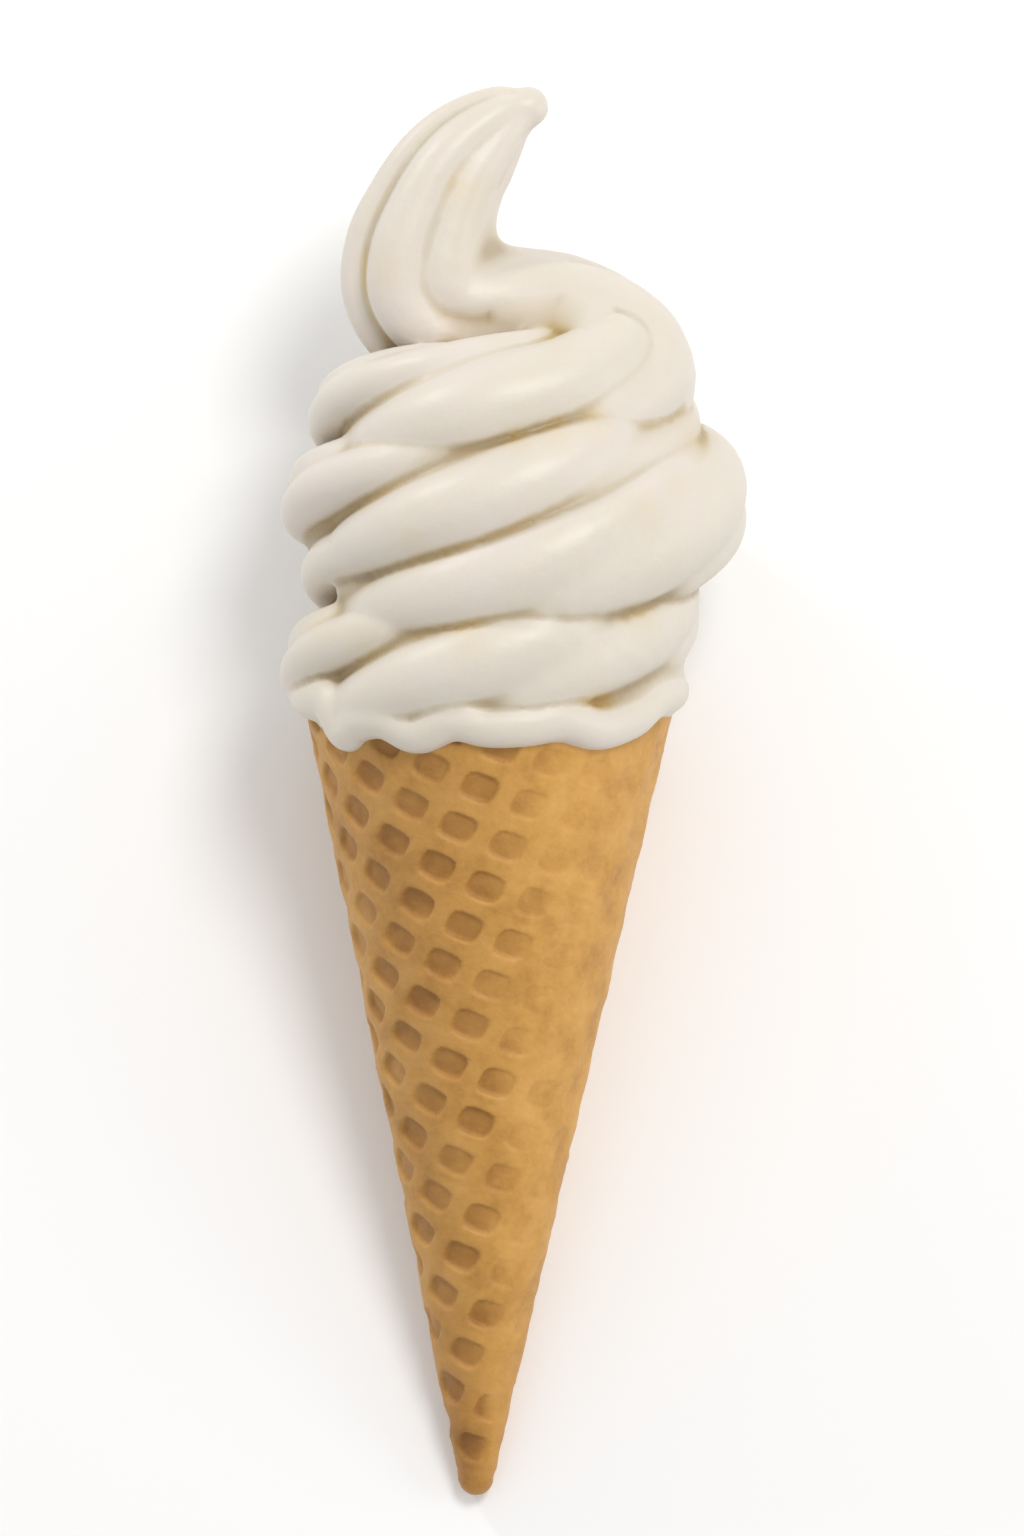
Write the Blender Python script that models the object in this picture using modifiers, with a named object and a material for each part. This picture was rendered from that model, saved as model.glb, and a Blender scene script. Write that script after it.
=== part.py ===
"""A soft serve cone lying on its side: a rolled wafer cone, filled and topped with a piped swirl.

Run with: blender --background --python part.py
Units are metres. The object is modelled upright, with its axis along +Z, its rim at Z = 0 and its
front at -Y. It is then laid on its back, so that it rests on Z = 0 with its front side up, its axis
along Y and its origin under the middle of its bounding box.
"""

import math

import bpy
import numpy as np
from mathutils import Vector

MM = 0.001

# Wafer cone
RIM_RADIUS = 29.5 * MM
CONE_LENGTH = 128 * MM
TIP_RADIUS = 2.8 * MM
WALL = 2.2 * MM
TIP_WALL = 6 * MM
HOLLOW_END_RADIUS = 1.2 * MM
CONE_SIDES = 72
TIP_RINGS = 4
MERGE_DISTANCE = 0.01 * MM

# Piped swirl
GAP = 0.3 * MM
NOZZLE_LOBES = 6
FRONT_LOBE = math.radians(267)
LOBE_SIZE = 0.34
LOBE_SIDE = 0.07
LOBE_SWELL = 0.16
LEAST_SWELL = 0.1
LOBE_PEAK = 2.5
SWELL_SIDE = math.radians(300)
LEFT_LOBE = 5
LEFT_LOBE_TURN = math.radians(-21)
FRONT_LOBE_GAIN = 0.05
TOP_TURN_START = 42 * MM
TOP_TURN_EASE = 3 * MM
TOP_LOBE_GAIN = 0.17
TOP_LOBE_TURN = math.radians(12)
FRONT_SWELL = 0.1
RIGHT_SWELL = 0.14
RIGHT_FRONT = math.radians(315)
CREST_FACING = math.radians(1355)
CREST_START = 50 * MM
CREST_EASE = 10 * MM
CORE_SIZE = 0.52
CORE_SIDE = 0.1
MIDDLE_LOW = -5 * MM
MIDDLE_LOW_RADIUS = 24 * MM
MIDDLE_TOP = 55 * MM
MIDDLE_TOP_RADIUS = 12 * MM
FILLING_SINK = 2 * MM
LEAN = math.radians(0.97)
STATION_SPACING = 2 * MM
VOXEL = 1.1 * MM
SMOOTHING = 1
KEPT_TRIANGLES = 0.115
FLOOR_DEPTH = 60 * MM

# The rope's coil, by quarter turns: turned angle, the coil's radius, the height above the rim, the
# rope's own radius and its twist. 180 is the left side, 270 the front. Millimetres and degrees.
COIL = (
    (-150, 10, -6, 7, 0),
    (-90, 18, -1.5, 9.5, 0),
    (0, 21, 6, 11, 0),
    (90, 21.5, 6, 12, 0),
    (180, 21.1, 4.9, 12.5, 0),
    (270, 21.5, 9.3, 12.5, 0),
    (360, 21.9, 16.5, 12.5, 0),
    (450, 21.8, 18, 12.5, 0),
    (540, 18.2, 21, 12, 0),
    (630, 21.5, 22, 12.5, 0),
    (720, 28, 33, 14, 0),
    (810, 24, 32.5, 13, 0),
    (900, 20.6, 31, 12.8, 0),
    (990, 20.5, 34.2, 13, 0),
    (1080, 22.1, 43, 12.3, 0),
    (1170, 21, 43.3, 12.5, 0),
    (1260, 17, 44.3, 12, -3),
    (1350, 17, 47.5, 12.2, -8),
)

# The last of the rope, over the top and up into the curled crest: x, y, height, the rope's radius
# and its twist.
CREST = (
    (12, -14, 49.3, 12.5, -12),
    (20.3, -7, 53, 12.8, -14),
    (16, -1, 58.3, 12.6, -16),
    (6, 2, 61.3, 12.4, -18),
    (-5, 2, 61.2, 12.5, -19),
    (-10.6, 1.5, 65.8, 12.7, -20),
    (-11, 1, 71.8, 12.3, -20),
    (-9.2, 0.5, 78, 11.2, -20),
    (-6.2, 0, 84.5, 9.8, -20),
    (-1.9, -0.3, 89.9, 8.1, -20),
    (2.6, -0.8, 93.7, 5.7, -20),
    (6.7, -1, 95.6, 3, -20),
)

# The cream inside the turn at the top: x, y, height and radius.
FOLD = (
    (18, -9, 60.3, 4.5),
    (12, -8.5, 61.3, 4.2),
)

# The lip that hangs over the rim: the side, in degrees, and how low it reaches there.
LIP = (
    (20, -1),
    (60, -2.6),
    (110, -2.8),
    (160, -2),
    (195, -2.3),
    (211, -2.1),
    (218, -6.4),
    (225, -4.5),
    (236, -3.8),
    (247, -5.8),
    (259, -3.5),
    (270, -4.4),
    (282, -4.2),
    (294, -3.4),
    (307, -5),
    (321, -3.6),
    (338, -0.6),
    (380, -1),
)
LIP_RADIUS = 3.6 * MM
LIP_DEPTH = 1 * MM


def wall_angle():
    """The cone's half angle, which makes its side run smoothly into the round tip."""
    depth = CONE_LENGTH - TIP_RADIUS
    return math.acos(TIP_RADIUS / math.hypot(RIM_RADIUS, depth)) - math.atan2(depth, RIM_RADIUS)


def catmull_rom(knots, parts):
    """Rows on the smooth curve through the knots, with this many parts between two knots."""
    k = np.array(knots, float)
    k = np.vstack([2 * k[0] - k[1], k, 2 * k[-1] - k[-2]])
    rows = []
    for p0, p1, p2, p3 in zip(k, k[1:], k[2:], k[3:]):
        for t in np.arange(parts) / parts:
            linear = (p2 - p0) * t
            square = (2 * p0 - 5 * p1 + 4 * p2 - p3) * t**2
            cube = (3 * p1 - p0 - 3 * p2 + p3) * t**3
            rows.append(p1 + (linear + square + cube) / 2)
    rows.append(k[-2])
    return np.array(rows)


def rope_route():
    """Stations along the rope's centre line: x, y, z and radius in metres, and twist in radians."""
    points = []
    for angle, coil, height, thick, twist in catmull_rom(COIL, 3):
        a = math.radians(angle)
        points.append((coil * math.cos(a), coil * math.sin(a), height, thick, twist))
    points.extend(CREST)
    fine = catmull_rom(points, 8) * (MM, MM, MM, MM, math.radians(1))
    fine[:, 0] -= fine[:, 2] * math.tan(LEAN)
    steps = np.linalg.norm(np.diff(fine[:, :3], axis=0), axis=1)
    run = np.concatenate([[0], np.cumsum(steps)])
    stations = np.arange(0, run[-1], STATION_SPACING)
    return np.column_stack([np.interp(stations, run, column) for column in fine.T])


def tube(name, points, radii, collection):
    """A round strand along the points, with a radius of its own at each, as a closed mesh."""
    curve = bpy.data.curves.new(name, "CURVE")
    curve.dimensions = "3D"
    curve.bevel_depth = 1
    curve.bevel_resolution = 3
    curve.use_fill_caps = True
    spline = curve.splines.new("POLY")
    spline.points.add(len(points) - 1)
    for place, point, radius in zip(spline.points, points, radii):
        place.co = (*point, 1)
        place.radius = radius
    drawn = bpy.data.objects.new(name, curve)
    collection.objects.link(drawn)
    graph = bpy.context.evaluated_depsgraph_get()
    mesh = bpy.data.meshes.new_from_object(drawn.evaluated_get(graph))
    bpy.data.objects.remove(drawn)
    bpy.data.curves.remove(curve)
    strand = bpy.data.objects.new(name, mesh)
    collection.objects.link(strand)
    return strand


def crest_share(height):
    """0 along the coil, easing to 1 over the crest."""
    share = np.clip((height - CREST_START) / CREST_EASE, 0, 1)
    return share * share * (3 - 2 * share)


def lobe_azimuth(lobe, side, twist, crest, top):
    """Where a lobe points; its neighbours back away from the front lobe where that is broad."""
    azimuth = FRONT_LOBE + lobe * 2 * math.pi / NOZZLE_LOBES + twist
    front = (1 - crest) * np.clip(-np.sin(side), 0, 1)
    if lobe == LEFT_LOBE:
        azimuth = azimuth + LEFT_LOBE_TURN * (1 - crest) * np.clip(-np.cos(side), 0, 1)
        azimuth = azimuth - TOP_LOBE_TURN * np.maximum(top, front)
    if lobe == 1:
        azimuth = azimuth + TOP_LOBE_TURN * top
    return azimuth


def lobe_size(lobe, side, azimuth, crest, top):
    """A lobe's radius as a share of the rope's: fat where it faces out or lies to the right."""
    facing = side + crest * (CREST_FACING - side)
    outward = np.clip(np.cos(facing - azimuth), 0, 1) ** LOBE_PEAK
    right = (1 - crest) * np.cos(side) + crest * np.cos(azimuth)
    swell = LOBE_SWELL * (LEAST_SWELL + (1 - LEAST_SWELL) * (1 + np.cos(facing - SWELL_SIDE)) / 2)
    front = (1 - crest) * np.clip(-np.sin(side), 0, 1)
    size = LOBE_SIZE + LOBE_SIDE * right + swell * outward
    if lobe == 0:
        size = size + FRONT_LOBE_GAIN * (1 - crest) * np.clip(-np.cos(side), 0, 1)
        size = size + TOP_LOBE_GAIN * top + FRONT_SWELL * (1 - top) * front
    if lobe == 1:
        size = size + RIGHT_SWELL * (1 - crest) * np.clip(np.cos(side - RIGHT_FRONT), 0, 1) ** 2
    return size


def rope_strands(collection):
    """The rope's core and the round lobes that the nozzle gives it, each twisting with the coil."""
    route = rope_route()
    centre, thick, twist = route[:, :3], route[:, 3], route[:, 4]
    up = Vector((0, 0, 1))
    turns = [up.rotation_difference(Vector(way)) for way in np.gradient(centre, axis=0)]
    side = np.unwrap(np.arctan2(centre[:, 1], centre[:, 0]))
    core = CORE_SIZE + CORE_SIDE * np.cos(side)
    strands = [tube("core", centre, thick * core, collection)]
    crest = crest_share(centre[:, 2])
    top = np.clip((centre[:, 2] - TOP_TURN_START) / TOP_TURN_EASE, 0, 1) * (1 - crest)
    for lobe in range(NOZZLE_LOBES):
        azimuths = lobe_azimuth(lobe, side, twist, crest, top)
        outlets = [Vector((math.cos(a), math.sin(a), 0)) for a in azimuths]
        aside = np.array([turn @ outlet for turn, outlet in zip(turns, outlets)])
        radii = thick * lobe_size(lobe, side, azimuths, crest, top)
        path = centre + aside * (thick - radii)[:, None]
        strands.append(tube(f"lobe_{lobe}", path, radii, collection))
    bpy.ops.mesh.primitive_uv_sphere_add(
        segments=16, ring_count=10, radius=thick[-1], location=centre[-1]
    )
    strands.append(bpy.context.object)
    return strands


def lip(collection):
    """The cream's lower edge, a round lip that hangs over the rim, lower where it drips."""
    slope = math.tan(wall_angle())
    points = []
    for side, lowest in catmull_rom(LIP, 6):
        a = math.radians(side)
        z = lowest * MM + math.sqrt(LIP_RADIUS**2 - LIP_DEPTH**2)
        out = RIM_RADIUS + min(z, 0) * slope - LIP_DEPTH
        points.append((out * math.cos(a), out * math.sin(a), z))
    return [tube("lip", points, [LIP_RADIUS] * len(points), collection)]


def fold(collection):
    rows = catmull_rom(FOLD, 3) * MM
    return [tube("fold", rows[:, :3], rows[:, 3], collection)]


def filling():
    """What fills the wafer, sunk halfway into its wall, and the middle of the coil."""
    slope = math.tan(wall_angle())
    middle = RIM_RADIUS - WALL / 2
    low = CONE_LENGTH - TIP_WALL - FILLING_SINK
    bpy.ops.mesh.primitive_cone_add(
        vertices=CONE_SIDES,
        radius1=middle - low * slope,
        radius2=middle,
        depth=low,
        location=(0, 0, -low / 2),
    )
    inside = bpy.context.object
    bpy.ops.mesh.primitive_cone_add(
        vertices=CONE_SIDES,
        radius1=MIDDLE_LOW_RADIUS,
        radius2=MIDDLE_TOP_RADIUS,
        depth=MIDDLE_TOP - MIDDLE_LOW,
        location=(0, 0, (MIDDLE_LOW + MIDDLE_TOP) / 2),
    )
    return [inside, bpy.context.object]


def profile_points(offset):
    """Half of the wafer's closed section, grown by the offset, from its hollow out to its tip."""
    angle = wall_angle()
    slope = math.tan(angle)
    outer = RIM_RADIUS + offset / math.cos(angle)
    inner = RIM_RADIUS - (WALL + offset) / math.cos(angle)
    end = HOLLOW_END_RADIUS - offset
    hollow_end = -(inner - end) / slope
    points = [
        (0, hollow_end),
        (end, hollow_end),
        (inner, offset),
        (outer, offset),
    ]
    for ring in range(TIP_RINGS + 1):
        turn = angle + (math.pi / 2 - angle) * ring / TIP_RINGS
        radius = TIP_RADIUS + offset
        tip_centre = CONE_LENGTH - TIP_RADIUS
        points.append((radius * math.cos(turn), -tip_centre - radius * math.sin(turn)))
    points[-1] = (0, points[-1][1])
    return points


def turned_wafer(name, offset, collection):
    points = profile_points(offset)
    mesh = bpy.data.meshes.new(name)
    edges = [(i, i + 1) for i in range(len(points) - 1)]
    mesh.from_pydata([(r, 0, z) for r, z in points], edges, [])
    wafer = bpy.data.objects.new(name, mesh)
    collection.objects.link(wafer)
    turn = wafer.modifiers.new("turned", "SCREW")
    turn.axis = "Z"
    turn.steps = CONE_SIDES
    turn.render_steps = CONE_SIDES
    turn.use_merge_vertices = True
    turn.merge_threshold = MERGE_DISTANCE
    turn.use_smooth_shade = False
    wafer.rotation_euler.z = math.pi / CONE_SIDES
    return wafer


def swirl(collection):
    """The rope, lip and filling, remeshed to one body."""
    pieces = rope_strands(collection) + fold(collection) + lip(collection) + filling()
    bpy.ops.object.select_all(action="DESELECT")
    for piece in pieces:
        piece.select_set(True)
    bpy.context.view_layer.objects.active = pieces[0]
    bpy.ops.object.join()
    cream = bpy.context.object
    cream.name = "soft_serve"
    remesh = cream.modifiers.new("one_body", "REMESH")
    remesh.mode = "VOXEL"
    remesh.voxel_size = VOXEL
    remesh.use_smooth_shade = True
    smooth = cream.modifiers.new("soft", "SMOOTH")
    smooth.iterations = SMOOTHING
    fewer = cream.modifiers.new("fewer_faces", "DECIMATE")
    fewer.ratio = KEPT_TRIANGLES
    return cream


def cut(piece, cutter):
    boolean = piece.modifiers.new("cut_" + cutter.name, "BOOLEAN")
    boolean.operation = "DIFFERENCE"
    boolean.object = cutter


def floor_cutter(collection):
    """The ground, which presses the cream's underside flat."""
    bpy.ops.mesh.primitive_cube_add(size=1)
    ground = bpy.context.object
    ground.name = "ground"
    for vertex in ground.data.vertices:
        vertex.co = (vertex.co.x, vertex.co.y, (vertex.co.z - 0.5) * FLOOR_DEPTH)
    move_to(ground, collection)
    return ground


def move_to(obj, collection):
    for held in list(obj.users_collection):
        held.objects.unlink(obj)
    collection.objects.link(obj)


def as_cutter(obj):
    obj.hide_render = True
    obj.display_type = "WIRE"


def lay_down(pieces, collection):
    """Turn the upright pieces onto their backs, one facet of the wafer flat on Z = 0."""
    facet = math.cos(math.pi / CONE_SIDES)
    angle = wall_angle()
    facet_angle = math.atan(math.tan(angle) * facet)
    lying = bpy.data.objects.new("lying", None)
    collection.objects.link(lying)
    lying.rotation_euler.x = facet_angle - math.pi / 2
    lying.location.z = RIM_RADIUS * facet * math.cos(facet_angle)
    for piece in pieces:
        piece.parent = lying
    return lying


def centre_over_origin(lying, pieces):
    """Move the whole so that the middle of its bounding box is over the origin."""
    bpy.context.view_layer.update()
    graph = bpy.context.evaluated_depsgraph_get()
    corners = []
    for piece in pieces:
        shown = piece.evaluated_get(graph)
        mesh = shown.to_mesh()
        flat = np.empty(len(mesh.vertices) * 3)
        mesh.vertices.foreach_get("co", flat)
        turn = np.array(shown.matrix_world)
        placed = flat.reshape(-1, 3) @ turn[:3, :3].T + turn[:3, 3]
        corners += [placed.min(axis=0), placed.max(axis=0)]
        shown.to_mesh_clear()
    middle = (np.min(corners, axis=0) + np.max(corners, axis=0)) / 2
    lying.location.x -= middle[0]
    lying.location.y -= middle[1]


def material(name, colour, roughness):
    made = bpy.data.materials.new(name)
    made.use_nodes = True
    shader = made.node_tree.nodes["Principled BSDF"]
    shader.inputs["Base Color"].default_value = (*colour, 1)
    shader.inputs["Roughness"].default_value = roughness
    shader.inputs["Metallic"].default_value = 0
    return made


def clear_scene():
    for obj in list(bpy.data.objects):
        bpy.data.objects.remove(obj)


def main():
    clear_scene()
    parts = bpy.data.collections.new("soft_serve_cone")
    cutters = bpy.data.collections.new("cutters")
    for collection in (parts, cutters):
        bpy.context.scene.collection.children.link(collection)

    wafer = turned_wafer("wafer_cone", 0, parts)
    cream = swirl(parts)
    move_to(cream, parts)
    clearance = turned_wafer("wafer_clearance", GAP, cutters)
    as_cutter(clearance)
    ground = floor_cutter(cutters)
    as_cutter(ground)
    lying = lay_down((wafer, cream, clearance), parts)
    cut(cream, clearance)
    cut(cream, ground)

    wafer.data.materials.append(material("baked_wafer", (0.62, 0.33, 0.11), 0.65))
    cream.data.materials.clear()
    cream.data.materials.append(material("ice_cream", (0.78, 0.69, 0.57), 0.45))
    centre_over_origin(lying, (wafer, cream))


main()
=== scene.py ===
"""Looks of a soft serve cone lying on its side: a rolled wafer and a piped ivory swirl.

Both pieces are modelled upright, axis along +Z, rim at Z = 0 and front at -Y, as the cone is held.
They are then laid down with the matrix that the frame's wafer gives. Units are metres.
"""

import math

import bpy
import numpy as np
from mathutils import Matrix, Vector, noise


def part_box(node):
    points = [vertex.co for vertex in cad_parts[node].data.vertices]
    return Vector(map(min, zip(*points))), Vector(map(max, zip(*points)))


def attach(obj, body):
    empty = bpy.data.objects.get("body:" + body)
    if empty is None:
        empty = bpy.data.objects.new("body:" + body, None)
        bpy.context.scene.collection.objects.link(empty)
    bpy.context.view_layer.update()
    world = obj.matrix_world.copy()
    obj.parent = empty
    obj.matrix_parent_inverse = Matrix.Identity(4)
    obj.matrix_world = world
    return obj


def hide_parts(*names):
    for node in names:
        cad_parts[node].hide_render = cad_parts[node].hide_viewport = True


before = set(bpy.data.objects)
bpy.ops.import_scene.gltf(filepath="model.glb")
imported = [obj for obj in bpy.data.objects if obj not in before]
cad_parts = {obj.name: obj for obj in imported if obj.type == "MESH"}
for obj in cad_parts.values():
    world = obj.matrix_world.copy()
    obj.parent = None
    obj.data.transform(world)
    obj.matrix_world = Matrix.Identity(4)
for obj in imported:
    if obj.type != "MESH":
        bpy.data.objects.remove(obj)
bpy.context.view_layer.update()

MM = 0.001

# Wafer cone, upright
RIM_RADIUS = 29.5 * MM
CONE_LENGTH = 128 * MM
TIP_RADIUS = 2.8 * MM
WALL = 2.2 * MM
CONE_SIDES = 72

# Wafer's pressed pockets, on the flat sheet: x to the right of the front line, y up from the point
# where the cone's sides would meet.
POCKET_ORIGIN = (-8.0 * MM, 117.1 * MM)
POCKET_ROW = (8.0 * MM, -2.9 * MM)
POCKET_COLUMN = (3.4 * MM, 6.7 * MM)
POCKET_CELLS = 40
RIB_HALF = 1.15 * MM
POCKET_DEPTH = 1.0 * MM
POCKET_WALL = 0.6 * MM
POCKET_WALL_SHARE = 0.9
POCKET_EDGE = 0.4 * MM
SHEET = 1.7 * MM
SHEET_START = 8 * MM

# How much of the pockets' depth is left on the smooth side, the turn in degrees where they begin to
# fade and over which they do, and how far over the tip they start
SMOOTH_SIDE = 0.17
FADE_START = -2
FADE_SPAN = 34
TIP_FADE = 6 * MM

# Unevenness of the pockets' depth, of the sheet and of its crumb: scale, middle and swing
POCKET_WAVER = (70, 0.85, 0.22)
SHEET_WAVER = (160, 0, 0.16 * MM)
CRUMB_WAVER = (520, 0, 0.08 * MM)

# The seam where the rolled sheet's ends overlap: angles in degrees, 0 at the front
SEAM_SIDE = -150
SEAM_OVERLAP = 16
SEAM_EASE = 14
SEAM_LIFT = 1.3 * MM
SEAM_FULL_SLANT = 80 * MM
CRISP_EDGE = math.radians(50)

# The nozzle's lobes, numbered from the one that faces the front. Sizes are shares of the rope's
# radius, and angles start at the right side and reach the front at 270.
NOZZLE_LOBES = 6
FRONT_LOBE = math.radians(267)
LOBE_SIZE = 0.34
LOBE_SIDE = 0.07
LOBE_SWELL = 0.16
LEAST_SWELL = 0.1
LOBE_PEAK = 2.5
SWELL_SIDE = math.radians(300)
CORE_SIZE = 0.52
CORE_SIDE = 0.02
CREST_FACING = math.radians(1355)
CREST_START = 50 * MM
CREST_EASE = 10 * MM
LEFT_LOBE = 5
LEFT_LOBE_TURN = math.radians(-21)
FRONT_LOBE_GAIN = 0.05
TOP_TURN_START = 42 * MM
TOP_TURN_EASE = 3 * MM
TOP_LOBE_GAIN = 0.17
TOP_LOBE_TURN = math.radians(12)
FRONT_SWELL = 0.1
RIGHT_SWELL = 0.14
RIGHT_FRONT = math.radians(315)

# The rope's mesh, how its outline is rounded, and the cream inside the coil
LEAN = math.radians(0.97)
STATION_SPACING = 0.8 * MM
ROUND_STEPS = 120
ROUNDING = (1, 2, 3, 2, 1)
MIDDLE_LOW = -5 * MM
MIDDLE_LOW_RADIUS = 24 * MM
MIDDLE_TOP = 55 * MM
MIDDLE_TOP_RADIUS = 12 * MM
PLUG_DEPTH = 14 * MM
MERGE_DISTANCE = 0.0001 * MM
FIRST_VOXEL = 0.5 * MM
VOXEL = 0.65 * MM
EVENING = 0.5

# The rope's coil, by quarter turns: turned angle, the coil's radius, the height above the rim, the
# rope's own radius and its twist. Millimetres and degrees.
COIL = (
    (-150, 10, -6, 7, 0),
    (-90, 18, -1.5, 9.5, 0),
    (0, 21, 6, 11, 0),
    (90, 21.5, 6, 12, 0),
    (180, 21.1, 4.9, 12.5, 0),
    (270, 21.5, 9.3, 12.5, 0),
    (360, 21.9, 16.5, 12.5, 0),
    (450, 21.8, 18, 12.5, 0),
    (540, 18.2, 21, 12, 0),
    (630, 21.5, 22, 12.5, 0),
    (720, 28, 33, 14, 0),
    (810, 24, 32.5, 13, 0),
    (900, 20.6, 31, 12.8, 0),
    (990, 20.5, 34.2, 13, 0),
    (1080, 22.1, 43, 12.3, 0),
    (1170, 21, 43.3, 12.5, 0),
    (1260, 17, 44.3, 12, -3),
    (1350, 17, 47.5, 12.2, -8),
)
# The last of the rope, over the top and up into the crest: x, y, height, radius and twist
CREST = (
    (12, -14, 49.3, 12.5, -12),
    (20.3, -7, 53, 12.8, -14),
    (16, -1, 58.3, 12.6, -16),
    (6, 2, 61.3, 12.4, -18),
    (-5, 2, 61.2, 12.5, -19),
    (-10.6, 1.5, 65.8, 12.7, -20),
    (-11, 1, 71.8, 12.3, -20),
    (-9.2, 0.5, 78, 11.2, -20),
    (-6.2, 0, 84.5, 9.8, -20),
    (-1.9, -0.3, 89.9, 8.1, -20),
    (2.6, -0.8, 93.7, 5.7, -20),
    (6.7, -1, 95.6, 3, -20),
)
# What the turn at the top closes over: x, y, height and radius
FOLD = (
    (18, -9, 60.3, 4.5),
    (12, -8.5, 61.3, 4.2),
)

# What lies in the hollow on the left: x, y, height and radius
LEFT_FOLD = (
    (-20, -9, 19, 5.5),
    (-16.5, -15, 20, 5.5),
    (-11, -20, 21, 5),
)

# Bends where the rope's folds have run together: x, y, height and reach
SOFT_SPOTS = (
    (2, -2, 72.5, 11),
    (14, -10, 61.5, 6),
    (5, -9, 63.5, 6),
)
SOFT_ROUNDS = 55
SOFT_EDGE = 1.5

# How many rounds of evening out show the fine lines, the creases and the hollows
DEPTH_ROUNDS = (5, 14, 142)

# Where the cream's creases get painted warm shade, seen from the front: x, height and reach
WARM_SHADE_SPOTS = (
    (9.5, 60.5, 5),
    (4, 43.5, 4),
    (10, 44.5, 5),
    (16, 46, 5),
    (32, 43.5, 6),
    (24, 33, 5),
    (29, 37, 4),
    (-3, 12.5, 4.5),
    (24, 15, 4),
    (17, 3.5, 4),
    (-27, 14, 5.5),
    (-20, 12, 5),
    (-12, 28, 4),
    (-4.5, 82, 6),
    (-18, 69, 6),
)
# The crease depth that gets the full painted warm shade, and the least of it outside a crease
WARM_SHADE_DEPTH = 0.35 * MM
LEAST_WARM_SHADE = 0.15

# Where it is mottled with fine bubbles, and their unevenness
MOTTLED_SPOTS = (
    (12, 17, 12),
    (22, 13, 9),
    (17, 30, 6),
)
BUBBLES = (380, 0, 0.09 * MM)

# The lip that hangs over the rim: side in degrees and lowest height
LIP = (
    (20, -1),
    (60, -2.6),
    (110, -2.8),
    (160, -2),
    (195, -2.3),
    (211, -2.1),
    (218, -6.4),
    (225, -4.5),
    (236, -3.8),
    (247, -5.8),
    (259, -3.5),
    (270, -4.4),
    (282, -4.2),
    (294, -3.4),
    (307, -5),
    (321, -3.6),
    (338, -0.6),
    (380, -1),
)
LIP_RADIUS = 3.6 * MM
LIP_DEPTH = 1 * MM

# The cream's colour, and the painted shade it is multiplied by in its creases, fine lines and
# hollows, and the painted warm shade in the creases at the warm spots, each by depth in millimetres
# or by share
IVORY_TONES = (
    (0.35, (0.69, 0.636, 0.545)),
    (0.5, (0.705, 0.648, 0.565)),
    (0.65, (0.715, 0.653, 0.585)),
)
# Painted shade in the creases, darker and yellower, varied by the patches' noise
CREASE_SHADE_TONES = ((0.42, (0.78, 0.74, 0.66)), (0.6, (0.90, 0.80, 0.50)))
CREASE_SHARE = ((0.1, (0, 0, 0)), (0.6, (1, 1, 1)))
# Painted shade along the fine lines
LINE_SHADE_TONES = ((0.04, (1, 1, 1)), (0.22, (0.84, 0.79, 0.7)))
# Painted warm shade in the creases at the warm spots
WARM_SHADE_TONES = ((0.0, (1, 1, 1)), (0.8, (0.96, 0.83, 0.5)))
# Painted shade in the hollows, deepest at 1
HOLLOW_SHADE_TONES = ((0.0, (1, 1, 1)), (0.5, (0.9, 0.87, 0.8)), (1.0, (0.72, 0.66, 0.55)))

# The wafer's colour, and what it is multiplied by: painted shade in its pockets, painted shade
# from its darker left side to its right, and a darkening towards the tip, from its tip to its rim
TOAST_TONES = (
    (0.32, (0.47, 0.225, 0.04)),
    (0.5, (0.61, 0.315, 0.066)),
    (0.7, (0.70, 0.385, 0.10)),
)
# Painted shade in the pockets
POCKET_SHADE_TONES = ((0.1, (1, 1, 1)), (0.85, (0.75, 0.68, 0.58)))
# Painted shade, darkest on the left side, away from the light
SIDE_SHADE_TONES = (
    (0.02, (0.86, 0.86, 0.9)),
    (0.2, (0.78, 0.76, 0.80)),
    (0.5, (0.90, 0.88, 0.84)),
    (0.68, (1, 1, 1)),
)
# Darker towards the tip
TIP_TONES = ((0.05, (0.84, 0.78, 0.72)), (0.4, (1, 1, 1)))

# Camera and light
CAMERA_DISTANCE = 1.2
CAMERA_TILT = math.radians(5)
CAMERA_ROLL = math.radians(0.97)
VIEW_HEIGHT = 0.2458
VIEW_CENTRE = (3.7 * MM, -10.1 * MM)
SENSOR = 36
FLOOR_SIZE = 6
SKY = 0.66
LAMP_DISTANCE = 0.9
# Name, direction to the right, up and towards the camera, size, power and colour
LAMPS = (
    ("key", (0.3, 0.5, 0.95), 0.3, 3.1, (1, 0.98, 0.96)),
    ("rim", (-0.7, 0.8, 0.3), 0.1, 1.6, (1, 1, 1)),
    ("fill", (0.9, 0, 0.4), 0.4, 0.9, (1, 1, 1)),
)


def wall_angle():
    depth = CONE_LENGTH - TIP_RADIUS
    return math.acos(TIP_RADIUS / math.hypot(RIM_RADIUS, depth)) - math.atan2(depth, RIM_RADIUS)


ANGLE = wall_angle()
TIP_SLANT = (RIM_RADIUS / math.tan(ANGLE) - CONE_LENGTH + TIP_RADIUS) / math.cos(ANGLE)


def laying_matrix():
    """Turns the upright cone onto its back, and puts its wafer where the frame's wafer is."""
    low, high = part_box("wafer_cone")
    facet = math.cos(math.pi / CONE_SIDES)
    tilt = math.atan(math.tan(ANGLE) * facet)
    tip_reach = (CONE_LENGTH - TIP_RADIUS) * math.cos(tilt) + TIP_RADIUS
    place = Vector(
        ((low.x + high.x) / 2, low.y + tip_reach, RIM_RADIUS * facet * math.cos(tilt))
    )
    return Matrix.Translation(place) @ Matrix.Rotation(tilt - math.pi / 2, 4, "X")


LAYING = laying_matrix()


# ---------------------------------------------------------------- small helpers


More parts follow.
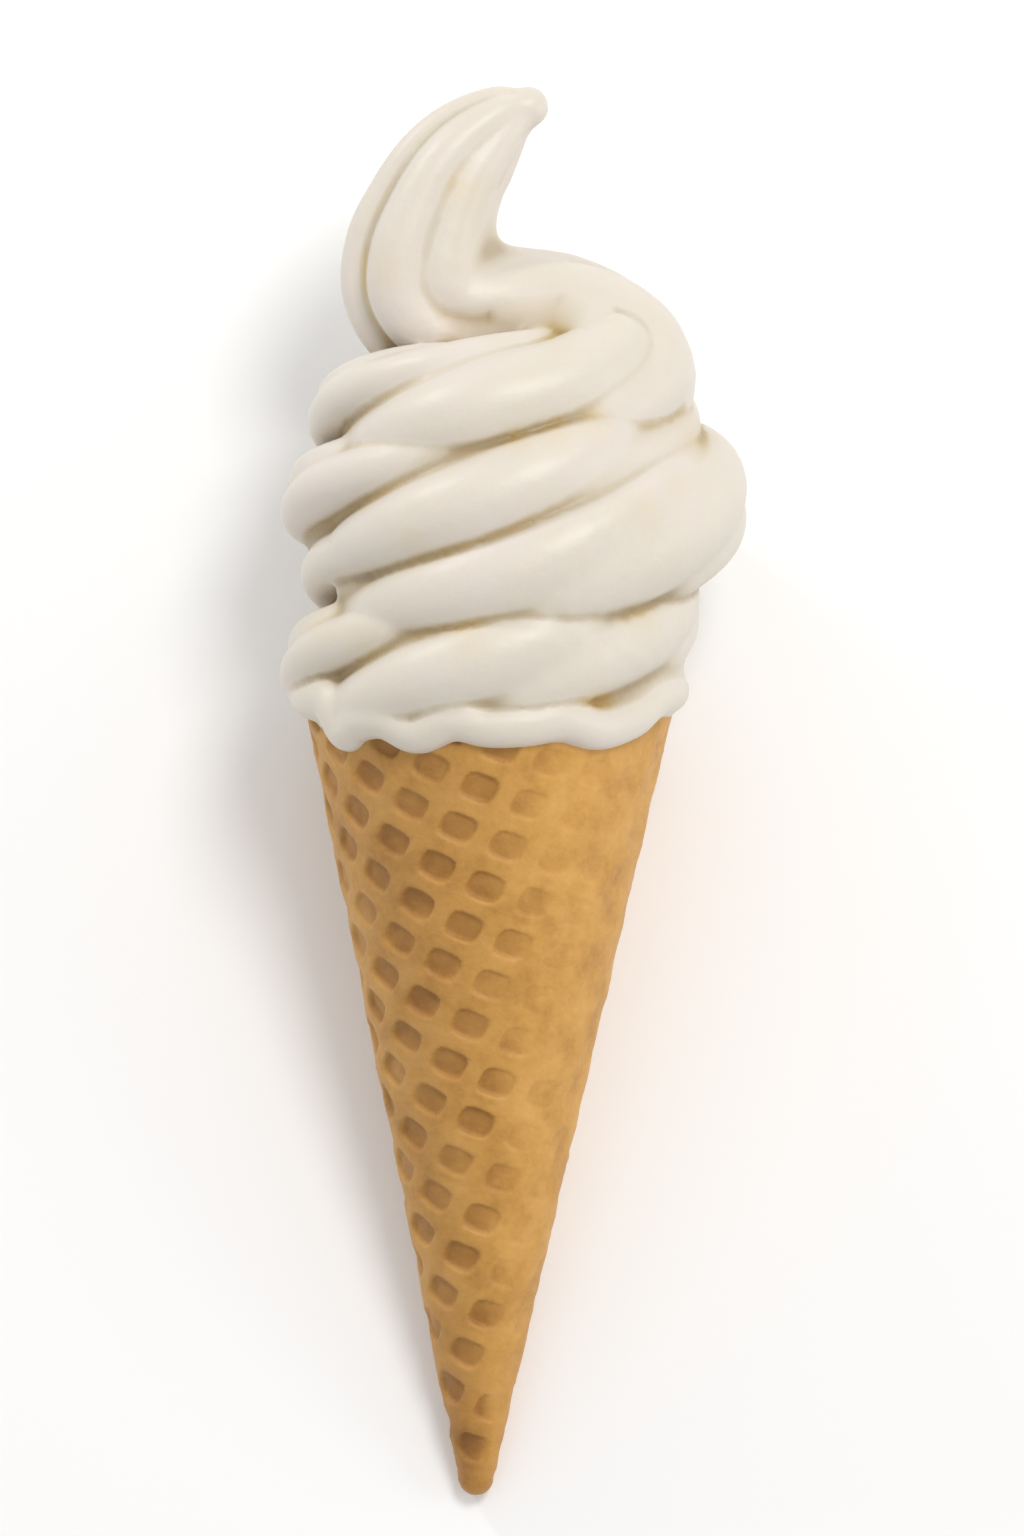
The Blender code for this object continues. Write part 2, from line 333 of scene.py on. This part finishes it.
def only(obj):
    """Select this object alone and make it active."""
    bpy.ops.object.select_all(action="DESELECT")
    obj.select_set(True)
    bpy.context.view_layer.objects.active = obj
    return obj


def points_of(obj):
    flat = np.empty(len(obj.data.vertices) * 3)
    obj.data.vertices.foreach_get("co", flat)
    return flat.reshape(-1, 3)


def normals_of(obj):
    flat = np.empty(len(obj.data.vertices) * 3)
    obj.data.vertices.foreach_get("normal", flat)
    return flat.reshape(-1, 3)


def move_points(obj, points):
    obj.data.vertices.foreach_set("co", np.asarray(points, np.float32).ravel())
    obj.data.update()


def settle(obj):
    """Put the object's place and turn into its mesh."""
    only(obj)
    bpy.ops.object.transform_apply(location=True, rotation=True, scale=True)
    return obj


def apply(obj, kind, **settings):
    """Add a modifier with these settings and apply it at once."""
    only(obj)
    modifier = obj.modifiers.new(kind.lower(), kind)
    for name, value in settings.items():
        setattr(modifier, name, value)
    bpy.ops.object.modifier_apply(modifier=modifier.name)
    return obj


def join(pieces, name):
    only(pieces[0])
    for piece in pieces:
        piece.select_set(True)
    bpy.ops.object.join()
    joined = bpy.context.object
    joined.name = name
    return joined


def catmull_rom(knots, parts):
    """Rows on the smooth curve through the knots, with this many parts between two knots."""
    k = np.array(knots, float)
    k = np.vstack([2 * k[0] - k[1], k, 2 * k[-1] - k[-2]])
    rows = []
    for p0, p1, p2, p3 in zip(k, k[1:], k[2:], k[3:]):
        for t in np.arange(parts) / parts:
            linear = (p2 - p0) * t
            square = (2 * p0 - 5 * p1 + 4 * p2 - p3) * t**2
            cube = (3 * p1 - p0 - 3 * p2 + p3) * t**3
            rows.append(p1 + (linear + square + cube) / 2)
    rows.append(k[-2])
    return np.array(rows)


def evenly(rows, spacing):
    """Rows resampled at this spacing along their first three columns."""
    steps = np.linalg.norm(np.diff(rows[:, :3], axis=0), axis=1)
    run = np.concatenate([[0], np.cumsum(steps)])
    stations = np.arange(0, run[-1], spacing)
    return np.column_stack([np.interp(stations, run, column) for column in rows.T])


def rings_along(centre, reach, around):
    """A ring of points at each station, with its reach at each angle, bent square to the line."""
    up = Vector((0, 0, 1))
    flat = np.column_stack([np.cos(around), np.sin(around), np.zeros(len(around))])
    rings = []
    for middle, radius, way in zip(centre, reach, np.gradient(centre, axis=0)):
        turn = np.array(up.rotation_difference(Vector(way)).to_matrix())
        rings.append(middle + (flat * radius[:, None]) @ turn.T)
    return np.array(rings)


# ---------------------------------------------------------------- soft serve


def rope_route():
    """Stations along the rope's centre line: x, y, z and radius in metres, and twist in radians."""
    points = []
    for angle, coil, height, thick, twist in catmull_rom(COIL, 3):
        a = math.radians(angle)
        points.append((coil * math.cos(a), coil * math.sin(a), height, thick, twist))
    points.extend(CREST)
    fine = catmull_rom(points, 12) * (MM, MM, MM, MM, math.radians(1))
    fine[:, 0] -= fine[:, 2] * math.tan(LEAN)
    return evenly(fine, STATION_SPACING)


def crest_share(route):
    """0 along the coil, easing to 1 over the crest."""
    share = np.clip((route[:, 2] - CREST_START) / CREST_EASE, 0, 1)
    return share * share * (3 - 2 * share)


def lobe_size(lobe, side, azimuth, crest, top):
    """A lobe's radius as a share of the rope's: fat where it faces out or lies to the right."""
    facing = side + crest * (CREST_FACING - side)
    outward = np.clip(np.cos(facing - azimuth), 0, 1) ** LOBE_PEAK
    right = (1 - crest) * np.cos(side) + crest * np.cos(azimuth)
    share = LEAST_SWELL + (1 - LEAST_SWELL) * (1 + np.cos(facing - SWELL_SIDE)) / 2
    swell = LOBE_SWELL * share
    front = (1 - crest) * np.clip(-np.sin(side), 0, 1)
    size = LOBE_SIZE + LOBE_SIDE * right + swell * outward
    if lobe == 0:
        size = size + FRONT_LOBE_GAIN * (1 - crest) * np.clip(-np.cos(side), 0, 1)
        size = size + TOP_LOBE_GAIN * top + FRONT_SWELL * (1 - top) * front
    if lobe == 1:
        right_front = (1 - crest) * (1 - top) * np.clip(np.cos(side - RIGHT_FRONT), 0, 1) ** 2
        size = size + RIGHT_SWELL * right_front
    return size


def lobe_azimuth(lobe, side, twist, crest, top):
    """Where a lobe points; its neighbours back away from the front lobe, and leave a hollow."""
    azimuth = FRONT_LOBE + lobe * 2 * math.pi / NOZZLE_LOBES + twist
    front = (1 - crest) * np.clip(-np.sin(side), 0, 1)
    if lobe == LEFT_LOBE:
        azimuth = azimuth + LEFT_LOBE_TURN * (1 - crest) * np.clip(-np.cos(side), 0, 1)
        azimuth = azimuth - TOP_LOBE_TURN * np.maximum(top, front)
    if lobe == 1:
        azimuth = azimuth + TOP_LOBE_TURN * top
    return azimuth


def nozzle_outline(around, side, twist, crest, top):
    """The star nozzle's outline as a share of the rope's radius: round lobes with creases between."""
    outline = CORE_SIZE + CORE_SIDE * np.cos(side) + 0 * around
    for lobe in range(NOZZLE_LOBES):
        azimuth = lobe_azimuth(lobe, side, twist, crest, top)
        size = lobe_size(lobe, side, azimuth, crest, top)
        reach = 1 - size
        off = around - azimuth
        inside = size**2 - (reach * np.sin(off)) ** 2
        edge = reach * np.cos(off) + np.sqrt(np.clip(inside, 0, None))
        outline = np.maximum(outline, np.where((inside > 0) & (np.cos(off) > 0), edge, 0))
    turned = [np.roll(outline, step, axis=1) for step in range(-2, 3)]
    return sum(w * each for w, each in zip(ROUNDING, turned)) / sum(ROUNDING)


def sleeve(name, stations, steps):
    """A grid of stations by steps whose two long edges meet, closed at both ends once filled in."""
    bpy.ops.mesh.primitive_grid_add(x_subdivisions=stations - 1, y_subdivisions=steps, size=2)
    grid = bpy.context.object
    grid.name = name
    flat = points_of(grid)
    along = np.rint((flat[:, 0] + 1) / 2 * (stations - 1)).astype(int)
    around = np.rint((flat[:, 1] + 1) / 2 * steps).astype(int) % steps
    return grid, along, around


def close_sleeve(obj):
    """Merge the sleeve's long edges and fill its ends."""
    only(obj)
    bpy.ops.object.mode_set(mode="EDIT")
    bpy.ops.mesh.select_all(action="SELECT")
    bpy.ops.mesh.remove_doubles(threshold=MERGE_DISTANCE)
    bpy.ops.mesh.select_all(action="DESELECT")
    bpy.ops.mesh.select_mode(type="EDGE")
    bpy.ops.mesh.select_non_manifold(extend=False)
    bpy.ops.mesh.fill_holes(sides=0)
    bpy.ops.mesh.select_all(action="SELECT")
    bpy.ops.mesh.normals_make_consistent(inside=False)
    bpy.ops.object.mode_set(mode="OBJECT")
    return obj


def rope():
    """The piped rope: the nozzle's star outline carried along the route."""
    route = rope_route()
    centre, thick, twist = route[:, :3], route[:, 3], route[:, 4]
    side = np.unwrap(np.arctan2(centre[:, 1], centre[:, 0]))
    around = np.arange(ROUND_STEPS) * 2 * math.pi / ROUND_STEPS
    crest = crest_share(route)
    top = np.clip((centre[:, 2] - TOP_TURN_START) / TOP_TURN_EASE, 0, 1) * (1 - crest)
    columns = [column[:, None] for column in (side, twist, crest, top)]
    outline = nozzle_outline(around[None, :], *columns)
    rings = rings_along(centre, outline * thick[:, None], around)
    obj, i, j = sleeve("rope", len(route), ROUND_STEPS)
    move_points(obj, rings[i, j])
    bpy.ops.mesh.primitive_uv_sphere_add(
        segments=32, ring_count=20, radius=thick[-1], location=centre[-1]
    )
    cap = settle(bpy.context.object)
    return [close_sleeve(obj), cap]


def strand(name, rows, steps=20):
    """A plain round strand through the rows of x, y, z and radius."""
    around = np.arange(steps) * 2 * math.pi / steps
    rings = rings_along(rows[:, :3], np.repeat(rows[:, 3:], steps, axis=1), around)
    obj, i, j = sleeve(name, len(rows), steps)
    move_points(obj, rings[i, j])
    return close_sleeve(obj)


def fold(name, knots):
    return strand(name, catmull_rom(knots, 6) * MM)


def lip():
    """The cream's lower edge, a round lip that hangs over the rim, lower where it drips."""
    rows = []
    for side, lowest in catmull_rom(LIP, 8):
        a = math.radians(side)
        z = lowest * MM + math.sqrt(LIP_RADIUS**2 - LIP_DEPTH**2)
        out = RIM_RADIUS + min(z, 0) * math.tan(ANGLE) - LIP_DEPTH
        rows.append((out * math.cos(a), out * math.sin(a), z, LIP_RADIUS))
    return strand("lip", np.array(rows))


def middle():
    """What fills the coil's middle, and the wafer just below its rim."""
    bpy.ops.mesh.primitive_cone_add(
        vertices=64,
        radius1=MIDDLE_LOW_RADIUS,
        radius2=MIDDLE_TOP_RADIUS,
        depth=MIDDLE_TOP - MIDDLE_LOW,
        location=(0, 0, (MIDDLE_LOW + MIDDLE_TOP) / 2),
    )
    core = settle(bpy.context.object)
    bpy.ops.mesh.primitive_cone_add(
        vertices=96,
        radius1=RIM_RADIUS - WALL - PLUG_DEPTH * math.tan(ANGLE),
        radius2=RIM_RADIUS - WALL,
        depth=PLUG_DEPTH,
        location=(0, 0, -PLUG_DEPTH / 2),
    )
    return [core, settle(bpy.context.object)]


def neighbour_mean(points, edges, counts):
    """The middle of each point's neighbours."""
    first, second = edges.T
    total = np.zeros_like(points)
    for column, values in enumerate(points.T):
        total[:, column] = np.bincount(first, values[second], len(points))
        total[:, column] += np.bincount(second, values[first], len(points))
    return total / counts[:, None]


def links(obj):
    """The mesh's edges as pairs of points, and how many edges meet at each point."""
    edges = np.empty(len(obj.data.edges) * 2, int)
    obj.data.edges.foreach_get("vertices", edges)
    counts = np.bincount(edges, minlength=len(obj.data.vertices)).astype(float)
    return edges.reshape(-1, 2), counts


def crease_depths(obj, rounds):
    """How far below its surroundings each point lies, in metres, after each number of rounds."""
    edges, counts = links(obj)
    start = points_of(obj)
    normals = normals_of(obj)
    spread = start.copy()
    depths = []
    for i in range(1, max(rounds) + 1):
        spread = neighbour_mean(spread, edges, counts)
        if i in rounds:
            depths.append(np.einsum("ij,ij->i", spread - start, normals))
    return depths


def soften(obj):
    """Even out the surface in the soft spots."""
    edges, counts = links(obj)
    points = points_of(obj)
    weight = np.zeros(len(points))
    for x, y, z, reach in SOFT_SPOTS:
        away = np.linalg.norm(points - np.array((x, y, z)) * MM, axis=1) / (reach * MM)
        weight = np.maximum(weight, np.clip(SOFT_EDGE * (1 - away), 0, 1))
    for _ in range(SOFT_ROUNDS):
        points += (neighbour_mean(points, edges, counts) - points) * weight[:, None]
    move_points(obj, points)


def near(points, spots):
    """1 at the middle of any of the spots, as seen from the front, down to 0 at its reach."""
    weight = np.zeros(len(points))
    for x, z, reach in spots:
        away = np.hypot(points[:, 0] - x * MM, points[:, 2] - z * MM) / (reach * MM)
        weight = np.maximum(weight, np.clip(1 - away, 0, 1) * (points[:, 1] < 0))
    return weight * weight * (3 - 2 * weight)


def mottle(obj):
    """Raise fine bubbles in the mottled spots."""
    points = points_of(obj)
    weight = near(points, MOTTLED_SPOTS)
    rough = np.flatnonzero(weight)
    rise = waver(points[rough], *BUBBLES) * weight[rough]
    points[rough] += normals_of(obj)[rough] * rise[:, None]
    move_points(obj, points)


def store(obj, name, values):
    """Keep a value at each point for the materials."""
    attribute = obj.data.attributes.new(name, "FLOAT", "POINT")
    attribute.data.foreach_set("value", np.asarray(values, np.float32))


def press_on_floor(obj):
    """Flatten whatever reaches under the surface that the cone lies on."""
    points = points_of(obj)
    points[:, 2] = np.maximum(points[:, 2], 0)
    move_points(obj, points)


def make_swirl():
    """The rope, its folds, the lip and the middle, run together into one body of cream."""
    folds = [fold("fold", FOLD), fold("left_fold", LEFT_FOLD)]
    cream = join([*rope(), *folds, lip(), *middle()], "soft_serve_swirl")
    apply(cream, "REMESH", mode="VOXEL", voxel_size=FIRST_VOXEL)
    apply(cream, "SMOOTH", factor=EVENING, iterations=2)
    apply(cream, "REMESH", mode="VOXEL", voxel_size=VOXEL)
    apply(cream, "SMOOTH", factor=EVENING, iterations=1)
    soften(cream)
    # Where the creases get painted warm shade
    warm_shaded = near(points_of(cream), WARM_SHADE_SPOTS)
    mottle(cream)
    cream.data.transform(LAYING)
    press_on_floor(cream)
    line, crease, hollow = crease_depths(cream, DEPTH_ROUNDS)
    store(cream, "line", line / MM)
    store(cream, "crease", crease / MM)
    store(cream, "hollow", hollow / MM)
    # How much painted warm shade each point gets
    store(cream, "warm_shade", warm_shaded * np.clip(crease / WARM_SHADE_DEPTH, LEAST_WARM_SHADE, 1))
    only(cream)
    bpy.ops.object.shade_smooth()
    return cream


# ---------------------------------------------------------------- wafer


def flat_sheet():
    """The flat wafer: a lattice of pockets, each pressed in from its own face."""
    n = POCKET_CELLS
    bpy.ops.mesh.primitive_grid_add(x_subdivisions=n, y_subdivisions=n, size=1)
    sheet = bpy.context.object
    sheet.name = "wafer"
    cells = points_of(sheet)[:, :2] * n
    place = (
        np.array(POCKET_ORIGIN)
        + (cells[:, :1] + 0.5) * np.array(POCKET_ROW)
        + (cells[:, 1:] + 0.5) * np.array(POCKET_COLUMN)
    )
    move_points(sheet, np.column_stack([place, np.zeros(len(place))]))
    only(sheet)
    bpy.ops.object.mode_set(mode="EDIT")
    bpy.ops.mesh.select_all(action="SELECT")
    bpy.ops.mesh.normals_make_consistent(inside=False)
    bpy.ops.mesh.inset(use_individual=True, thickness=RIB_HALF, depth=0)
    for width, share in ((POCKET_WALL, POCKET_WALL_SHARE), (POCKET_EDGE, 1 - POCKET_WALL_SHARE)):
        bpy.ops.mesh.inset(use_individual=True, thickness=width, depth=-share * POCKET_DEPTH)
    bpy.ops.object.mode_set(mode="OBJECT")
    return sheet


def rolled(points):
    """Flat sheet points, with z as height above the sheet, rolled onto the cone."""
    slant = np.hypot(points[:, 0], points[:, 1])
    turn = np.arctan2(points[:, 0], points[:, 1]) / math.sin(ANGLE)
    start = math.radians(SEAM_SIDE)
    late = turn - start - 2 * math.pi + math.radians(SEAM_EASE)
    ease = np.clip(late / math.radians(SEAM_EASE), 0, 1)
    room = np.clip(slant / SEAM_FULL_SLANT, 0, 1)
    lift = points[:, 2] + SEAM_LIFT * room * ease * ease * (3 - 2 * ease)
    radius = slant * math.sin(ANGLE) + lift * math.cos(ANGLE)
    height = slant * math.cos(ANGLE) - RIM_RADIUS / math.tan(ANGLE) - lift * math.sin(ANGLE)
    return np.column_stack([radius * np.sin(turn), -radius * np.cos(turn), height])


def waver(points, scale, middle, swing):
    """A soft unevenness over the points: this middle value, give or take the swing."""
    values = [noise.noise(Vector(point) * scale) for point in points]
    return middle + swing * np.clip(2 * np.array(values), -1, 1)


def press(flat):
    """How deep the pockets are pressed: deep on the left, nearly smooth on the right."""
    turn = np.degrees(np.arctan2(flat[:, 0], flat[:, 1]) / math.sin(ANGLE))
    share = np.clip((turn - FADE_START) / FADE_SPAN, 0, 1)
    near_tip = np.clip((np.hypot(flat[:, 0], flat[:, 1]) - TIP_SLANT) / TIP_FADE, 0, 1)
    return near_tip * (1 - (1 - SMOOTH_SIDE) * share * share * (3 - 2 * share))


def trim_to_sector(sheet):
    """Cut the flat sheet along the two straight edges that overlap once it is rolled."""
    first = math.radians(SEAM_SIDE) * math.sin(ANGLE)
    last = math.radians(SEAM_SIDE + 360 + SEAM_OVERLAP) * math.sin(ANGLE)
    only(sheet)
    bpy.ops.object.mode_set(mode="EDIT")
    for edge, keep in ((first, 1), (last, -1)):
        bpy.ops.mesh.select_all(action="SELECT")
        bpy.ops.mesh.bisect(
            plane_co=(0, 0, 0),
            plane_no=(keep * math.cos(edge), -keep * math.sin(edge), 0),
            clear_inner=True,
        )
    bpy.ops.mesh.select_all(action="SELECT")
    bpy.ops.mesh.bisect(plane_co=(0, SHEET_START, 0), plane_no=(0, 1, 0), clear_inner=True)
    bpy.ops.object.mode_set(mode="OBJECT")


def trim_rolled(sheet):
    """Cut the rim and the narrow end off square to the cone's axis."""
    tip_cut = -(CONE_LENGTH - TIP_RADIUS) - TIP_RADIUS * math.sin(ANGLE)
    only(sheet)
    bpy.ops.object.mode_set(mode="EDIT")
    for height, keep in ((0, -1), (tip_cut, 1)):
        bpy.ops.mesh.select_all(action="SELECT")
        bpy.ops.mesh.bisect(plane_co=(0, 0, height), plane_no=(0, 0, keep), clear_inner=True)
    bpy.ops.object.mode_set(mode="OBJECT")


def tip_nub():
    bpy.ops.mesh.primitive_uv_sphere_add(
        segments=36,
        ring_count=20,
        radius=TIP_RADIUS,
        location=(0, 0, -(CONE_LENGTH - TIP_RADIUS)),
    )
    return settle(bpy.context.object)


def make_wafer():
    """The pressed sheet, rolled into a cone and closed with a nub at its tip."""
    sheet = flat_sheet()
    trim_to_sector(sheet)
    apply(sheet, "SUBSURF", subdivision_type="SIMPLE", levels=1, render_levels=1)
    apply(sheet, "SUBSURF", levels=1, render_levels=1)
    flat = points_of(sheet)
    flat[:, 2] *= press(flat) * waver(flat, *POCKET_WAVER)
    flat[:, 2] += waver(flat, *SHEET_WAVER) + waver(flat + 1, *CRUMB_WAVER)
    store(sheet, "pocket", -flat[:, 2] / POCKET_DEPTH)
    store(sheet, "side", np.sin(np.arctan2(flat[:, 0], flat[:, 1]) / math.sin(ANGLE)))
    store(sheet, "along", np.hypot(flat[:, 0], flat[:, 1]) * math.cos(ANGLE) / CONE_LENGTH)
    move_points(sheet, rolled(flat))
    trim_rolled(sheet)
    apply(sheet, "SOLIDIFY", thickness=SHEET, offset=-1)
    wafer = join([sheet, tip_nub()], "rolled_wafer")
    wafer.data.transform(LAYING)
    press_on_floor(wafer)
    only(wafer)
    bpy.ops.object.shade_smooth_by_angle(angle=CRISP_EDGE)
    return wafer


# ---------------------------------------------------------------- materials


def new_material(name):
    material = bpy.data.materials.new(name)
    material.use_nodes = True
    tree = material.node_tree
    return material, tree, tree.nodes["Principled BSDF"]


def node(tree, kind, **values):
    """A new node with these input values or settings."""
    made = tree.nodes.new(kind)
    for name, value in values.items():
        if name in made.inputs:
            made.inputs[name].default_value = value
        else:
            setattr(made, name, value)
    return made


def stored(tree, name):
    """A value that the mesh holds at each point."""
    return node(tree, "ShaderNodeAttribute", attribute_name=name).outputs["Fac"]


def ramp(tree, source, stops):
    made = tree.nodes.new("ShaderNodeValToRGB")
    elements = made.color_ramp.elements
    while len(elements) < len(stops):
        elements.new(0.5)
    for element, (position, colour) in zip(elements, stops):
        element.position = position
        element.color = (*colour, 1)
    tree.links.new(source, made.inputs["Fac"])
    return made.outputs["Color"]


def colour_mix(tree, way, first, second):
    made = tree.nodes.new("ShaderNodeMix")
    made.data_type = "RGBA"
    made.blend_type = way
    made.inputs[0].default_value = 1.0
    tree.links.new(first, made.inputs[6])
    tree.links.new(second, made.inputs[7])
    return made


def multiply(tree, first, second):
    return colour_mix(tree, "MULTIPLY", first, second).outputs[2]


def blend(tree, share, first, second):
    made = colour_mix(tree, "MIX", first, second)
    tree.links.new(share, made.inputs[0])
    return made.outputs[2]


def ivory_cream():
    material, tree, shader = new_material("ivory_soft_serve")
    link = tree.links.new
    place = node(tree, "ShaderNodeTexCoord").outputs["Object"]
    crease = stored(tree, "crease")
    hollow = stored(tree, "hollow")
    patches = node(tree, "ShaderNodeTexNoise", Scale=45.0, Detail=3.0)
    link(place, patches.inputs["Vector"])
    body = ramp(tree, patches.outputs["Fac"], IVORY_TONES)
    # Painted shade in the creases
    crease_shade = ramp(tree, patches.outputs["Fac"], CREASE_SHADE_TONES)
    depth = ramp(tree, crease, CREASE_SHARE)
    tint = blend(tree, depth, body, multiply(tree, body, crease_shade))
    # Painted shade along the fine lines
    line = stored(tree, "line")
    tint = multiply(tree, tint, ramp(tree, line, LINE_SHADE_TONES))
    # Painted warm shade in the creases at the warm spots
    warm_shade = stored(tree, "warm_shade")
    tint = multiply(tree, tint, ramp(tree, warm_shade, WARM_SHADE_TONES))
    # Painted shade in the hollows
    link(multiply(tree, tint, ramp(tree, hollow, HOLLOW_SHADE_TONES)), shader.inputs["Base Color"])
    shader.inputs["Roughness"].default_value = 0.42
    shader.inputs["Subsurface Weight"].default_value = 0.2
    shader.inputs["Subsurface Radius"].default_value = (1.0, 0.7, 0.4)
    shader.inputs["Subsurface Scale"].default_value = 0.0015
    fine = node(tree, "ShaderNodeTexNoise", Scale=320.0, Detail=5.0, Roughness=0.55)
    link(place, fine.inputs["Vector"])
    bump = node(tree, "ShaderNodeBump", Strength=0.3, Distance=0.0004)
    link(fine.outputs["Fac"], bump.inputs["Height"])
    link(bump.outputs["Normal"], shader.inputs["Normal"])
    return material


def baked_wafer():
    material, tree, shader = new_material("baked_wafer")
    link = tree.links.new
    place = node(tree, "ShaderNodeTexCoord").outputs["Object"]
    toast = node(tree, "ShaderNodeTexNoise", Scale=110.0, Detail=8.0, Roughness=0.7)
    link(place, toast.inputs["Vector"])
    tone = ramp(tree, toast.outputs["Fac"], TOAST_TONES)
    pocket = stored(tree, "pocket")
    side = stored(tree, "side")
    across = node(tree, "ShaderNodeMapRange")
    link(side, across.inputs["Value"])
    across.inputs["From Min"].default_value = -1
    # Painted shade in the pockets
    pressed = ramp(tree, pocket, POCKET_SHADE_TONES)
    # Painted shade on the left side
    side_shade = ramp(tree, across.outputs["Result"], SIDE_SHADE_TONES)
    along = stored(tree, "along")
    # Darker towards the tip
    tip_darkening = ramp(tree, along, TIP_TONES)
    colour = multiply(tree, multiply(tree, tone, pressed), side_shade)
    link(multiply(tree, colour, tip_darkening), shader.inputs["Base Color"])
    shader.inputs["Roughness"].default_value = 0.55
    pores = node(tree, "ShaderNodeTexNoise", Scale=1200.0, Detail=4.0)
    link(place, pores.inputs["Vector"])
    bump = node(tree, "ShaderNodeBump", Strength=0.5, Distance=0.0003)
    link(pores.outputs["Fac"], bump.inputs["Height"])
    link(bump.outputs["Normal"], shader.inputs["Normal"])
    return material


def floor_material():
    material, tree, shader = new_material("pale_floor")
    shader.inputs["Base Color"].default_value = (0.95, 0.95, 0.95, 1)
    shader.inputs["Roughness"].default_value = 0.8
    return material


def dress(obj, material):
    obj.data.materials.clear()
    obj.data.materials.append(material)


# ---------------------------------------------------------------- stage, light and camera


def view_axes():
    """Right, up and towards the camera, in the row frame, for the side of the cone that shows."""
    laid = LAYING.to_3x3()
    towards = laid @ Vector((0, -math.cos(CAMERA_TILT), math.sin(CAMERA_TILT)))
    up = laid @ Vector((0, math.sin(CAMERA_TILT), math.cos(CAMERA_TILT)))
    right = up.cross(towards)
    return right, up, towards


def make_camera():
    right, up, towards = view_axes()
    camera = bpy.data.cameras.new("camera")
    camera.sensor_fit = "AUTO"
    camera.sensor_width = SENSOR
    camera.lens = SENSOR * CAMERA_DISTANCE / VIEW_HEIGHT
    camera.clip_end = 10
    obj = bpy.data.objects.new("camera", camera)
    bpy.context.scene.collection.objects.link(obj)
    rim = LAYING @ Vector((0, 0, 0))
    turn = Matrix((right, up, towards)).transposed() @ Matrix.Rotation(CAMERA_ROLL, 3, "Z")
    aim = rim + turn @ Vector((*VIEW_CENTRE, 0))
    obj.matrix_world = Matrix.Translation(aim + towards * CAMERA_DISTANCE) @ turn.to_4x4()
    bpy.context.scene.camera = obj


def area_light(name, direction, size, power, colour):
    """A soft light; direction is given to the right, up and towards the camera."""
    right, up, towards = view_axes()
    way = (right * direction[0] + up * direction[1] + towards * direction[2]).normalized()
    light = bpy.data.lights.new(name, "AREA")
    light.shape = "DISK"
    light.size = size
    light.energy = power
    light.color = colour
    obj = bpy.data.objects.new(name, light)
    bpy.context.scene.collection.objects.link(obj)
    obj.location = way * LAMP_DISTANCE
    obj.rotation_mode = "QUATERNION"
    obj.rotation_quaternion = way.to_track_quat("Z", "Y")


def make_floor():
    bpy.ops.mesh.primitive_plane_add(size=FLOOR_SIZE)
    floor = bpy.context.object
    floor.name = "floor"
    dress(floor, floor_material())


def make_light():
    world = bpy.data.worlds.new("studio")
    bpy.context.scene.world = world
    world.use_nodes = True
    background = world.node_tree.nodes["Background"]
    background.inputs["Color"].default_value = (1, 1, 1, 1)
    background.inputs["Strength"].default_value = SKY
    for lamp in LAMPS:
        area_light(*lamp)


def main():
    bpy.context.scene.view_settings.view_transform = "Standard"
    swirl = make_swirl()
    dress(swirl, ivory_cream())
    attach(swirl, "root")
    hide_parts("soft_serve")
    wafer = make_wafer()
    dress(wafer, baked_wafer())
    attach(wafer, "root")
    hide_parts("wafer_cone")
    make_floor()
    make_light()
    make_camera()


main()
